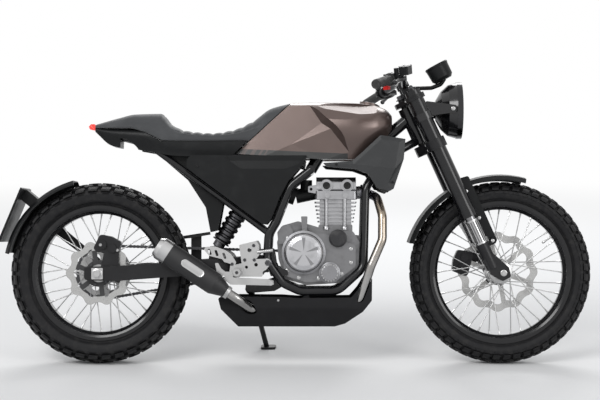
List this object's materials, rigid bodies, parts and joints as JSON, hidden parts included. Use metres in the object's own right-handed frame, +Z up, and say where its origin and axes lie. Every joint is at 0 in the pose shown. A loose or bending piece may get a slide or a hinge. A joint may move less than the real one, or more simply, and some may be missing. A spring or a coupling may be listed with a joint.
{
  "type": "cafe racer motorcycle",
  "caption": "Light naked motorcycle with block-tread tyres on wire wheels, a creased tank, a long quilted seat, a low silencer and a round headlamp, parked leaning on its side stand.",
  "frame": {"origin": "on the ground, below the middle of the leaning motorcycle's bounding box", "axes": "+X to the front, +Y to the rider's left, +Z up; the motorcycle leans 8 degrees to its left"},
  "size_m": [2.006, 0.7982, 1.0278],
  "materials": {
    "bare_aluminium": "cast and machined aluminium",
    "black_plastic": "matte black plastic",
    "bronze_paint": "satin metallic bronze brown",
    "chassis_black": "satin black paint",
    "chrome": "hard chrome",
    "dark_steel": "oiled steel",
    "frame_black": "gloss black paint",
    "grey_plastic": "dark grey plastic",
    "lamp_glass": "clear lamp glass",
    "lamp_red": "red lamp lens",
    "rubber": "black rubber",
    "seat_cloth": "charcoal woven cover",
    "steel": "brushed steel",
    "tyre": "block tread tyre"
  },
  "bodies": {
    "chassis": {"frame": "frame_black", "subframe": "frame_black", "swingarm": "chassis_black", "rear_axle": "steel", "shock_absorber": "dark_steel", "chain": "dark_steel", "crankcase": "bare_aluminium", "engine_covers": "bare_aluminium", "cylinder": "bare_aluminium", "cylinder_head": "bare_aluminium", "intake": "black_plastic", "radiator": "chassis_black", "exhaust_pipe": "steel", "silencer": "chassis_black", "belly_pan": "black_plastic", "fuel_tank": "bronze_paint", "tank_shrouds": "grey_plastic", "side_covers": "black_plastic", "seat": "seat_cloth", "tail_unit": "black_plastic", "tail_lamp": "lamp_red", "rear_mudguard": "black_plastic", "footrests": "bare_aluminium", "rear_caliper": "chassis_black"},
    "steering": {"yokes": "chassis_black", "fork_tubes": "frame_black", "stanchions": "chrome", "fork_castings": "chassis_black", "front_axle": "steel", "handlebar": "frame_black", "grips": "rubber", "hand_controls": "black_plastic", "hand_levers": "chassis_black", "headlamp": "frame_black", "headlamp_lens": "lamp_glass", "gauge": "black_plastic", "front_mudguard": "black_plastic", "front_caliper": "chassis_black"},
    "front_wheel": {"front_rim": "frame_black", "front_hub": "steel", "front_tyre": "tyre", "front_disc": "steel"},
    "rear_wheel": {"rear_rim": "frame_black", "rear_hub": "steel", "rear_tyre": "tyre", "rear_disc": "steel", "rear_sprocket": "steel"},
    "stand": {"side_stand": "chassis_black"}
  },
  "joints": [
    {"name": "steering", "type": "hinge", "parent": "chassis", "child": "steering", "pos_m": [0.40284, -0.01584, 0.80086], "axis": [-0.4147, 0.1266, 0.9011], "range_deg": [-32, 32]},
    {"name": "front_wheel_spin", "type": "hinge", "parent": "steering", "child": "front_wheel", "pos_m": [0.69498, -0.08526, 0.30695], "axis": [0, 0.9903, -0.1392], "continuous": true},
    {"name": "rear_wheel_spin", "type": "hinge", "parent": "chassis", "child": "rear_wheel", "pos_m": [-0.66502, -0.08553, 0.30497], "axis": [0, 0.9903, -0.1392], "continuous": true},
    {"name": "side_stand_fold", "type": "hinge", "parent": "chassis", "child": "stand", "pos_m": [-0.16002, 0.02776, 0.23452], "axis": [0, 0.9613, 0.2756], "range_deg": [0, 95]}
  ]
}
